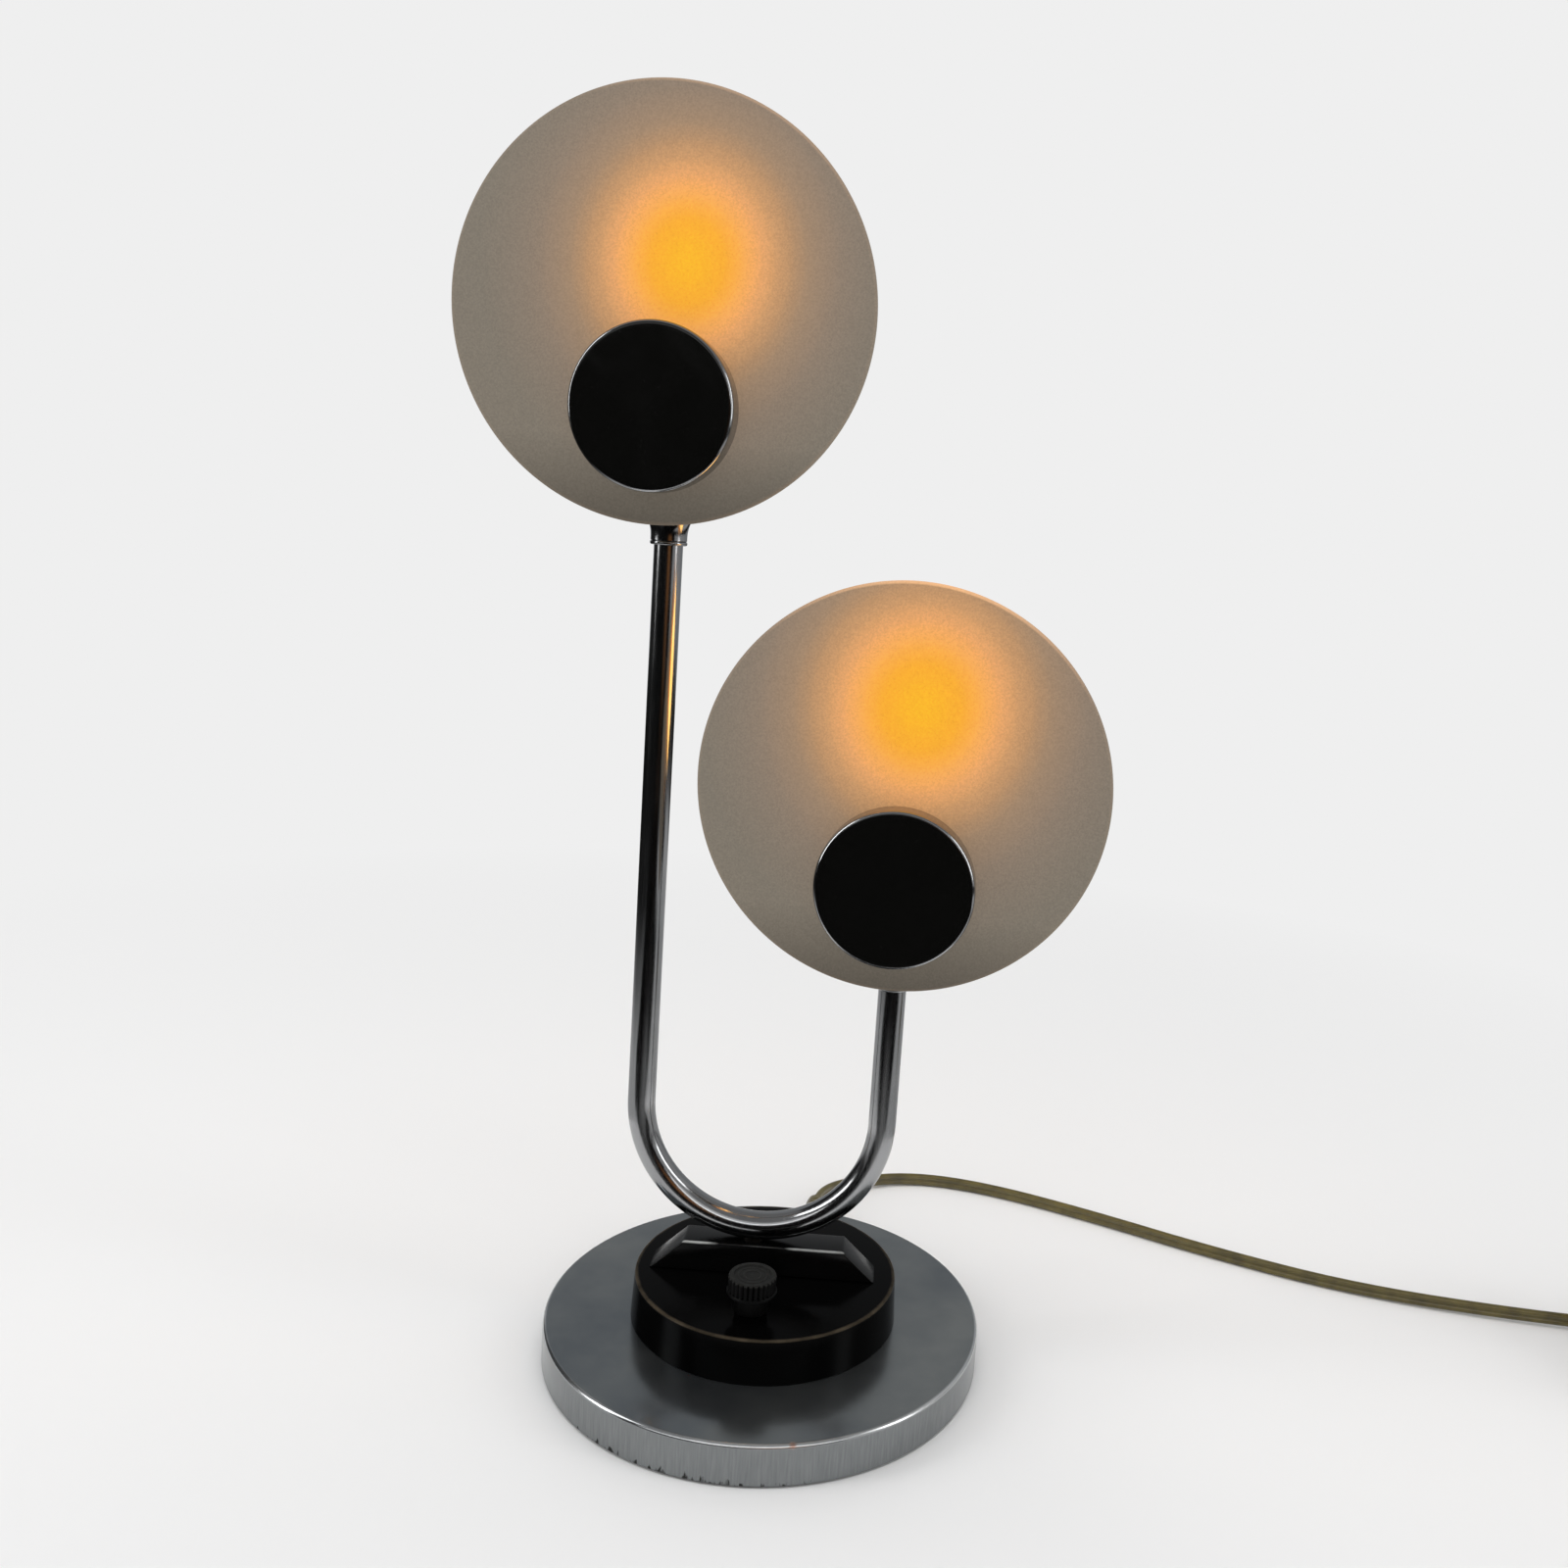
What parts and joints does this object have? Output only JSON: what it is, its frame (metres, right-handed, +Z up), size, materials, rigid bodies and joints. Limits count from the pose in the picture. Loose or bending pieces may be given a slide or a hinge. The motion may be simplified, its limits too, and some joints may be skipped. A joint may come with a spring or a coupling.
{
  "type": "table lamp",
  "caption": "Deco-style table lamp: U-bent chrome stem on a weighted round base with a black dimmer housing, frosted glass discs with black caps shading candle bulbs",
  "frame": {"origin": "on the table, under the middle of the round base", "axes": "+Z up along the stem, +X to the right seen from the front, +Y to the back where the flex leaves"},
  "size_m": [0.5274, 0.2264, 0.4397],
  "materials": {
    "chrome_plate": "polished chrome plate with light wear at the edges",
    "black_phenolic": "black moulded phenolic with a polished surface",
    "black_enamel": "gloss black stove enamel",
    "black_gloss_cap": "gloss black face with a bright metal edge",
    "frosted_glass": "satin-etched smoked glass",
    "bulb_glass": "opal candle bulb, lit",
    "bulb_aluminium": "bright pressed screw cap",
    "holder_plastic": "cream moulded lampholder",
    "brass": "plain brass",
    "zinc_steel": "zinc-plated turned steel",
    "cast_iron": "as-cast grey iron",
    "felt": "dark green felt",
    "soft_washer": "soft black washer",
    "gold_flex": "translucent gold twin flex",
    "wire_insulation": "single-core insulation",
    "tie_plastic": "flat tie strap",
    "plug_plastic": "moulded brown plug"
  },
  "bodies": {
    "root": {"base_shell": "chrome_plate", "base_weight": "cast_iron", "base_felt": "felt", "dimmer_housing": "black_phenolic", "bridge_block": "black_enamel", "stem_tube": "chrome_plate", "stem_nipple": "zinc_steel", "stem_lock_washer": "zinc_steel", "stem_lock_nut": "zinc_steel", "dimmer_body": "black_phenolic", "dimmer_nut": "black_phenolic", "cord_bush": "gold_flex", "flex_inner_end": "gold_flex", "flex_lead": "gold_flex", "flex_coil": "gold_flex", "coil_tie": "tie_plastic", "plug_body": "plug_plastic", "plug_blades": "brass", "upper_cup_ring": "chrome_plate", "upper_lampholder_cup": "chrome_plate", "upper_lampholder": "holder_plastic", "upper_thread_sleeve": "brass", "upper_centre_contact": "brass", "upper_bulb_screw_cap": "bulb_aluminium", "upper_bulb_glass": "bulb_glass", "upper_glass_stud": "zinc_steel", "upper_rear_washer": "soft_washer", "upper_glass_disc": "frosted_glass", "upper_front_washer": "soft_washer", "upper_glass_cap": "black_gloss_cap", "upper_lamp_wire": "wire_insulation", "lower_cup_ring": "chrome_plate", "lower_lampholder_cup": "chrome_plate", "lower_lampholder": "holder_plastic", "lower_thread_sleeve": "brass", "lower_centre_contact": "brass", "lower_bulb_screw_cap": "bulb_aluminium", "lower_bulb_glass": "bulb_glass", "lower_glass_stud": "zinc_steel", "lower_rear_washer": "soft_washer", "lower_glass_disc": "frosted_glass", "lower_front_washer": "soft_washer", "lower_glass_cap": "black_gloss_cap", "lower_lamp_wire": "wire_insulation"},
    "knob": {"control_knob": "black_phenolic", "dimmer_spindle": "zinc_steel"}
  },
  "joints": [
    {"name": "dimmer_turn", "type": "hinge", "parent": "root", "child": "knob", "pos_m": [0, -0.032, 0.036], "axis": [0, 0, 1], "range_deg": [-135, 135]}
  ]
}
